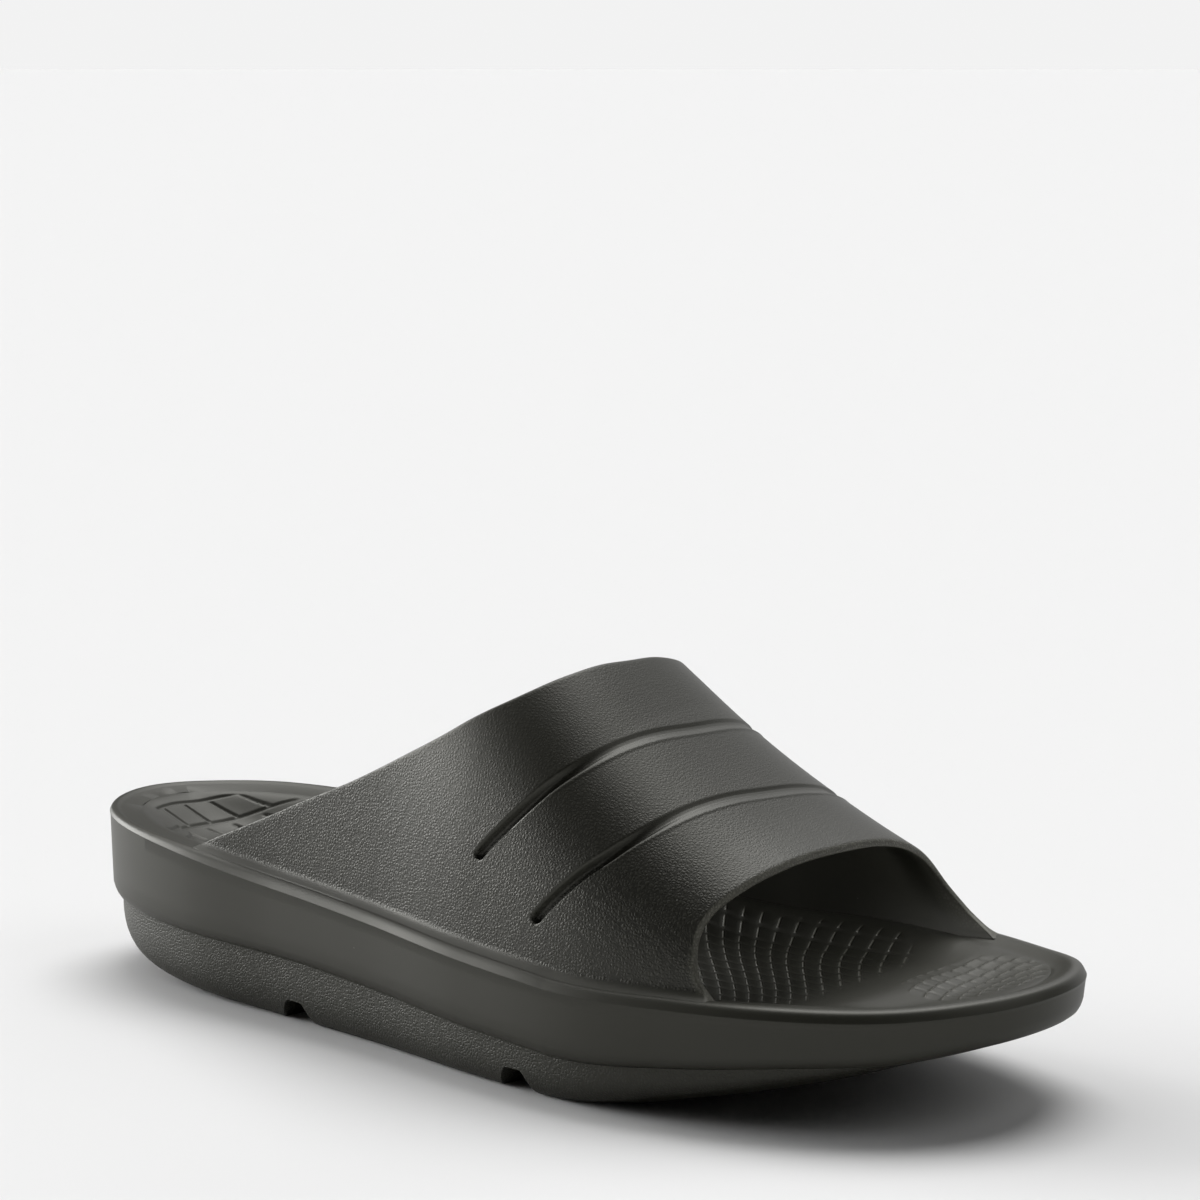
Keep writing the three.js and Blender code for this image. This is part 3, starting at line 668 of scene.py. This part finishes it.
def make_upper():
    """The upper, and the path of its mouth's edge."""
    ends = [*REAR_GROOVE, *FRONT_GROOVE]
    fine = np.linspace(0, 1, 4001)
    crowd = 1 + 0.7 * np.abs(2 * fine - 1) ** 3
    crowd += 3.5 * (np.exp(-(fine / 0.016) ** 2) + np.exp(-((1 - fine) / 0.016) ** 2))
    for end in ends:
        crowd += 2.2 * np.exp(-((fine - end) / 0.012) ** 2)
    steps = np.concatenate([[0], np.cumsum((crowd[1:] + crowd[:-1]) / 2)])
    overs = np.interp(np.linspace(0, steps[-1], 231), steps, fine)
    paths = [groove_path(rear_line, REAR_GROOVE), groove_path(front_line, FRONT_GROOVE)]
    loops, mouth_path = [], []
    for over in overs:
        xs = outer_places(over)
        sides = np.full(len(xs), over)
        depth = groove_depths(arch_point(xs, sides, np.zeros(len(xs))), over, paths)
        outer = flared(arch_point(xs, sides, depth), over)
        mouth_edge = edge_points(xs[-1], 1, over, MOUTH_EDGE, MOUTH_CORNER, MOUTH_LEAN)
        collar_edge = edge_points(xs[0], -1, over, UPPER_EDGE, COLLAR_CORNER)[::-1]
        mouth_path.append(mouth_edge[len(mouth_edge) // 2])
        loops.append(np.concatenate([outer, mouth_edge, inner_face(xs, over)[::-1], collar_edge]))
    for first, place in ((True, 0), (False, len(loops) - 1)):
        sunk = loops[place].copy()
        sunk[:, 2] -= SEAT_SINK
        loops.insert(0, sunk) if first else loops.append(sunk)
    piece = extruded("upper_band", loops)
    close_loop(piece, 0, len(loops[0]))
    close_loop(piece, len(loops[0]) * (len(loops) - 1), len(loops[0]))
    finish_mesh(piece, 60)
    return piece, mouth_path


# Shader parts

def group_tree(name, inputs, outputs):
    tree = bpy.data.node_groups.new(name, "ShaderNodeTree")
    for label, kind, value in inputs:
        socket = tree.interface.new_socket(label, in_out="INPUT", socket_type=kind)
        socket.default_value = value
    for label, kind in outputs:
        tree.interface.new_socket(label, in_out="OUTPUT", socket_type=kind)
    return tree, tree.nodes.new("NodeGroupInput"), tree.nodes.new("NodeGroupOutput")


def add(tree, kind, **settings):
    node = tree.nodes.new(kind)
    for key, value in settings.items():
        if key in node.inputs:
            node.inputs[key].default_value = value
        else:
            setattr(node, key, value)
    return node


def maths(tree, operation, a, b=None):
    node = tree.nodes.new("ShaderNodeMath")
    node.operation = operation
    for k, value in enumerate(v for v in (a, b) if v is not None):
        if isinstance(value, (int, float)):
            node.inputs[k].default_value = value
        else:
            tree.links.new(value, node.inputs[k])
    return node.outputs[0]


def stored(tree, name):
    node = tree.nodes.new("ShaderNodeAttribute")
    node.attribute_name = name
    return node.outputs["Fac"]


def mixed_color(tree, share, color, other):
    """A colour turned into another one, which is constant, by a share."""
    node = add(tree, "ShaderNodeMix", data_type="RGBA")
    tree.links.new(share, node.inputs[0])
    tree.links.new(color, node.inputs[6])
    node.inputs[7].default_value = (*other, 1)
    return node.outputs[2]


def pebble_group():
    """Pebbled leather grain: rounded cells with narrow valleys between them, bent by noise."""
    tree, given, made = group_tree(
        "pebble_grain",
        [("Vector", "NodeSocketVector", (0, 0, 0)), ("Cells", "NodeSocketFloat", 1000.0),
         ("Bend", "NodeSocketFloat", 0.0006), ("Valley", "NodeSocketFloat", 0.35)],
        [("Height", "NodeSocketFloat"), ("Valleys", "NodeSocketFloat")])
    noise = add(tree, "ShaderNodeTexNoise", Scale=420.0, Detail=1.0)
    tree.links.new(given.outputs["Vector"], noise.inputs["Vector"])
    centred = add(tree, "ShaderNodeVectorMath", operation="SUBTRACT")
    tree.links.new(noise.outputs["Color"], centred.inputs[0])
    centred.inputs[1].default_value = (0.5, 0.5, 0.5)
    bent = add(tree, "ShaderNodeVectorMath", operation="SCALE")
    tree.links.new(centred.outputs[0], bent.inputs[0])
    tree.links.new(given.outputs["Bend"], bent.inputs["Scale"])
    moved = add(tree, "ShaderNodeVectorMath", operation="ADD")
    tree.links.new(given.outputs["Vector"], moved.inputs[0])
    tree.links.new(bent.outputs[0], moved.inputs[1])
    cells = add(tree, "ShaderNodeTexVoronoi", feature="DISTANCE_TO_EDGE", Randomness=0.8)
    tree.links.new(moved.outputs[0], cells.inputs["Vector"])
    tree.links.new(given.outputs["Cells"], cells.inputs["Scale"])
    spread = add(tree, "ShaderNodeMapRange", interpolation_type="SMOOTHSTEP")
    tree.links.new(cells.outputs["Distance"], spread.inputs["Value"])
    tree.links.new(given.outputs["Valley"], spread.inputs["From Max"])
    tree.links.new(spread.outputs[0], made.inputs["Height"])
    tree.links.new(maths(tree, "SUBTRACT", 1.0, spread.outputs[0]), made.inputs["Valleys"])
    return tree


def skin_group():
    """Moulded skin: slow changes of tone, fine tooth and a few pale specks."""
    tree, given, made = group_tree(
        "moulded_skin",
        [("Vector", "NodeSocketVector", (0, 0, 0)), ("Color", "NodeSocketColor", (0.05, 0.05, 0.04, 1)),
         ("Change", "NodeSocketFloat", 0.12), ("Specks", "NodeSocketFloat", 1.0)],
        [("Color", "NodeSocketColor"), ("Tone", "NodeSocketFloat"), ("Tooth", "NodeSocketFloat")])
    slow = add(tree, "ShaderNodeTexNoise", Scale=22.0, Detail=3.0, Roughness=0.55)
    fine = add(tree, "ShaderNodeTexNoise", Scale=2600.0, Detail=2.0)
    specks = add(tree, "ShaderNodeTexVoronoi", Scale=130.0, feature="F1")
    for node in (slow, fine, specks):
        tree.links.new(given.outputs["Vector"], node.inputs["Vector"])
    tone = maths(tree, "SUBTRACT", slow.outputs["Fac"], 0.5)
    shade = maths(tree, "ADD", maths(tree, "MULTIPLY", tone, given.outputs["Change"]), 1.0)
    scaled = add(tree, "ShaderNodeVectorMath", operation="SCALE")
    tree.links.new(given.outputs["Color"], scaled.inputs[0])
    tree.links.new(shade, scaled.inputs["Scale"])
    dot = maths(tree, "LESS_THAN", specks.outputs["Distance"], 0.026)
    picked = maths(tree, "GREATER_THAN", specks.outputs["Color"], 0.62)
    speck = maths(tree, "MULTIPLY", maths(tree, "MULTIPLY", dot, picked), given.outputs["Specks"])
    specked = mixed_color(tree, speck, scaled.outputs[0], (0.12, 0.12, 0.11))
    tree.links.new(specked, made.inputs["Color"])
    tree.links.new(slow.outputs["Fac"], made.inputs["Tone"])
    tree.links.new(fine.outputs["Fac"], made.inputs["Tooth"])
    return tree


PEBBLES, SKIN = pebble_group(), skin_group()
# Painted highlight on the upper's mouth edge.
PAINTED_EDGE_HIGHLIGHT = (0.1, 0.098, 0.08)
# Painted highlight on the tops of the footbed's lips.
PAINTED_LIP_HIGHLIGHT = (0.052, 0.051, 0.04)


def placed(tree, group, vector, **values):
    node = tree.nodes.new("ShaderNodeGroup")
    node.node_tree = group
    tree.links.new(vector, node.inputs["Vector"])
    for key, value in values.items():
        node.inputs[key].default_value = value
    return node


def foam(name, color, roughness, change, specks, specular=0.5):
    """A foam's material with its colour and gloss; returns it with its tree, shader and coordinates."""
    material = bpy.data.materials.new(name)
    material.use_nodes = True
    tree = material.node_tree
    shader = tree.nodes["Principled BSDF"]
    shader.inputs["Specular IOR Level"].default_value = specular
    shader.inputs["Specular Tint"].default_value = (1, 0.99, 0.9, 1)
    where = tree.nodes.new("ShaderNodeTexCoord").outputs["Object"]
    skin = placed(tree, SKIN, where, Color=(*color, 1), Change=change, Specks=specks)
    tree.links.new(skin.outputs["Color"], shader.inputs["Base Color"])
    gloss = add(tree, "ShaderNodeMapRange")
    tree.links.new(skin.outputs["Tone"], gloss.inputs["Value"])
    gloss.inputs["To Min"].default_value = roughness - 0.05
    gloss.inputs["To Max"].default_value = roughness + 0.05
    tree.links.new(gloss.outputs[0], shader.inputs["Roughness"])
    return material, tree, shader, where, skin


def bump(tree, shader, height, distance, strength=1.0, under=None):
    node = add(tree, "ShaderNodeBump", Strength=strength, Distance=distance)
    tree.links.new(height, node.inputs["Height"])
    if under is not None:
        tree.links.new(under, node.inputs["Normal"])
    tree.links.new(node.outputs[0], shader.inputs["Normal"])
    return node.outputs[0]


def grained(tree, shader, skin, pebbles, share, depth, darker):
    """Pebbles as deep as the share says, with painted shade in their valleys."""
    valleys = maths(tree, "MULTIPLY", pebbles.outputs["Valleys"], share)
    # Painted shade: the colour is darkened in the pebbles' valleys.
    shaded = add(tree, "ShaderNodeVectorMath", operation="SCALE")
    tree.links.new(skin.outputs["Color"], shaded.inputs[0])
    tree.links.new(maths(tree, "SUBTRACT", 1.0, maths(tree, "MULTIPLY", valleys, darker)),
                   shaded.inputs["Scale"])
    tree.links.new(shaded.outputs[0], shader.inputs["Base Color"])
    under = bump(tree, shader, skin.outputs["Tooth"], 0.00002, 0.5)
    bump(tree, shader, maths(tree, "MULTIPLY", pebbles.outputs["Height"], share), depth, 1.0, under)
    return shaded.outputs[0]


def upper_material():
    material, tree, shader, where, skin = foam("upper_foam", (0.0175, 0.0173, 0.0122), 0.46, 0.1, 1.0)
    pebbles = placed(tree, PEBBLES, where, Cells=1200.0, Bend=0.0003, Valley=0.36)
    # Pebbles with painted shade in their valleys.
    shaded = grained(tree, shader, skin, pebbles, stored(tree, "grain"), 0.00006, 0.6)
    # Painted highlight: the mouth's edge is turned paler, most on the pebbles' tops.
    pebble_highlight = maths(tree, "ADD", maths(tree, "MULTIPLY", pebbles.outputs["Height"], 0.45), 0.55)
    edge = maths(tree, "MULTIPLY", stored(tree, "edge"), pebble_highlight)
    tree.links.new(mixed_color(tree, edge, shaded, PAINTED_EDGE_HIGHLIGHT), shader.inputs["Base Color"])
    return material


def dash_group():
    """Where a highlight is painted on the top of each lip: a dash between two valleys."""
    tree, given, made = group_tree(
        "lip_dashes",
        [(label, "NodeSocketFloat", 0.0) for label in ("Zone", "Steps", "Ribs")],
        [("Dash", "NodeSocketFloat")])

    def near(count, place, low, high, inside, outside):
        phase = maths(tree, "FRACT", given.outputs[count])
        away = maths(tree, "ABSOLUTE", maths(tree, "SUBTRACT", phase, place))
        spread = add(tree, "ShaderNodeMapRange", interpolation_type="SMOOTHSTEP")
        tree.links.new(away, spread.inputs["Value"])
        limits = {"From Min": low, "From Max": high, "To Min": inside, "To Max": outside}
        for label, value in limits.items():
            spread.inputs[label].default_value = value
        return spread.outputs[0]
    lip = near("Steps", LIP_AT, 0.02, 0.09, 1.0, 0.0)
    rib = near("Ribs", 0.5, 0.12, 0.2, 0.0, 1.0)
    dash = maths(tree, "MULTIPLY", maths(tree, "MULTIPLY", lip, rib), given.outputs["Zone"])
    tree.links.new(dash, made.inputs["Dash"])
    return tree


def midsole_material():
    color = (0.0165, 0.0163, 0.0115)
    material, tree, shader, _, skin = foam("midsole_foam", color, 0.47, 0.08, 0.6)
    dashes = tree.nodes.new("ShaderNodeGroup")
    dashes.node_tree = dash_group()
    for label in ("Zone", "Steps", "Ribs"):
        tree.links.new(stored(tree, label.lower()), dashes.inputs[label])
    # Painted highlight: the colour turns paler on the dashes.
    dashed = mixed_color(tree, dashes.outputs["Dash"], skin.outputs["Color"], PAINTED_LIP_HIGHLIGHT)
    tree.links.new(dashed, shader.inputs["Base Color"])
    under = bump(tree, shader, skin.outputs["Tooth"], 0.000025, 0.5)
    bump(tree, shader, dashes.outputs["Dash"], 0.00015, 1.0, under)
    return material


def outsole_material():
    material, tree, shader, where, skin = foam("outsole_foam", (0.017, 0.0168, 0.0116), 0.5, 0.12, 0.5)
    pebbles = placed(tree, PEBBLES, where, Cells=1150.0, Bend=0.0008, Valley=0.3)
    # Painted shade in the pebbles' valleys, less dark than on the upper.
    grained(tree, shader, skin, pebbles, 1.0, 0.00006, 0.3)
    return material


def write_value(piece, name, values):
    attribute = piece.data.attributes.new(name, "FLOAT", "POINT")
    attribute.data.foreach_set("value", values.astype(np.float32))


def vertex_vectors(piece, name):
    values = np.empty(len(piece.data.vertices) * 3)
    piece.data.vertices.foreach_get(name, values)
    return values.reshape(-1, 3)


def write_dashes(piece):
    """The footbed's zones and their counts of steps and ribs, for the dashes on the lips, with their
    bump and painted highlight.
    """
    x, y, z = (vertex_vectors(piece, "co") * 1000 + [*MIDDLE, 0]).T
    ball, toe = ball_zone(x, y), toe_zone(x, y)
    ahead = x > ZONES_PART
    top = ease((z - rim_height(x) + 15) / 1)  # the footbed, not the underside
    write_value(piece, "zone", np.where(ahead, toe[0], ball[0]) * top)
    write_value(piece, "steps", np.where(ahead, toe[1], ball[1]))
    write_value(piece, "ribs", np.where(ahead, toe[2], ball[2]) + 100)


def distance_to(path, points):
    return np.min([np.linalg.norm(points - place, axis=1) for place in path], axis=0)


def write_grain(piece, mouth_path):
    """How deep the pebbles are over the upper: full low at the sides and on the mouth's edge, less on
    top, none inside, in the grooves and where the bases spread over the rim."""
    points = vertex_vectors(piece, "co") * 1000 + [*MIDDLE, 0]
    square = vertex_vectors(piece, "normal")
    x, y, z = points.T
    middle = (side_at(x, -1, SEAT_INSET) + side_at(x, 1, SEAT_INSET)) / 2
    out = np.stack([np.zeros(len(points)), y - middle, (z - rim_height(x)) * 1.5], -1)
    out /= np.linalg.norm(out, axis=1, keepdims=True)
    share = 0.4 + 0.6 * ease((88 - z - 0.16 * (x - 130)) / 40)
    edge = ease((1.3 - distance_to(mouth_path, points)) / 0.35)
    share = np.maximum(share, edge)
    share *= ease(((out * square).sum(1) + 0.25) / 0.35)
    share *= ease((z - rim_height(x) - 0.9) / 1.2)
    for line, ends in ((rear_line, REAR_GROOVE), (front_line, FRONT_GROOVE)):
        gap = distance_to(groove_path(line, ends)[::6], points)
        share *= ease((gap - GROOVE_WIDTH * 0.45) / 0.6)
    write_value(piece, "grain", share)
    # The mouth's edge, where the upper's material paints a highlight.
    write_value(piece, "edge", edge)


# The three mouldings

def dress(piece, node, material):
    piece.data.materials.append(material)
    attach(piece, "root")
    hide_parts(node)


midsole = make_midsole()
outsole = make_outsole()
upper, mouth_path = make_upper()
write_grain(upper, mouth_path)
write_dashes(midsole)
dress(midsole, "midsole", midsole_material())
dress(outsole, "outsole", outsole_material())
dress(upper, "upper", upper_material())


# Floor, light and camera

# name, towards the light, strength, spread in degrees
LIGHTS = [
    ("overhead", (-0.18, 0.41, 0.89), 2.25, 42),
    ("toe side, high", (0.66, 0.28, 0.7), 0.42, 45),
    ("heel side, high", (-0.72, 0.1, 0.69), 0.75, 42),
    ("heel side, low", (-0.975, -0.165, 0.12), 5.0, 44),
    ("inner side", (-0.1, 0.95, 0.3), 0.5, 50)]
ALL_ROUND = 0.013  # strength of the light from everywhere
BACKDROP = 0.89  # how pale the background is seen
CAMERA_PLACE = (0.5002, -0.6723, 0.2369)
CAMERA_DOWN = 8.85  # degrees
CAMERA_TURN = 35.65
CAMERA_LENS = 105


def make_floor():
    bpy.ops.mesh.primitive_circle_add(vertices=96, radius=60, fill_type="NGON")
    floor = bpy.context.object
    floor.name = "floor"
    material = bpy.data.materials.new("pale_floor")
    material.use_nodes = True
    shader = material.node_tree.nodes["Principled BSDF"]
    shader.inputs["Base Color"].default_value = (0.75, 0.75, 0.75, 1)
    shader.inputs["Roughness"].default_value = 1
    shader.inputs["Specular IOR Level"].default_value = 0
    floor.data.materials.append(material)


def sun(name, towards, strength, spread):
    light = bpy.data.lights.new(name, "SUN")
    light.energy, light.angle = strength, math.radians(spread)
    lamp = bpy.data.objects.new(name, light)
    bpy.context.scene.collection.objects.link(lamp)
    lamp.rotation_euler = Vector(towards).to_track_quat("Z", "Y").to_euler()


def make_light():
    world = bpy.data.worlds.new("studio")
    bpy.context.scene.world = world
    world.use_nodes = True
    tree = world.node_tree
    background = tree.nodes["Background"]
    background.inputs["Color"].default_value = (1, 1, 1, 1)
    background.inputs["Strength"].default_value = ALL_ROUND
    seen = tree.nodes.new("ShaderNodeBackground")
    seen.inputs["Color"].default_value = (1, 1, 1, 1)
    seen.inputs["Strength"].default_value = BACKDROP
    path = tree.nodes.new("ShaderNodeLightPath")
    mixed = tree.nodes.new("ShaderNodeMixShader")
    tree.links.new(path.outputs["Is Camera Ray"], mixed.inputs[0])
    tree.links.new(background.outputs[0], mixed.inputs[1])
    tree.links.new(seen.outputs[0], mixed.inputs[2])
    tree.links.new(mixed.outputs[0], tree.nodes["World Output"].inputs["Surface"])
    for name, towards, strength, spread in LIGHTS:
        sun(name, towards, strength, spread)


def make_camera():
    camera = bpy.data.cameras.new("camera")
    camera.lens, camera.sensor_width = CAMERA_LENS, 36
    camera.clip_start, camera.clip_end = 0.05, 100
    eye = bpy.data.objects.new("camera", camera)
    bpy.context.scene.collection.objects.link(eye)
    eye.location = CAMERA_PLACE
    eye.rotation_euler = (math.radians(90 - CAMERA_DOWN), 0, math.radians(CAMERA_TURN))
    bpy.context.scene.camera = eye


make_floor()
make_light()
make_camera()
bpy.context.scene.view_settings.view_transform = "Standard"
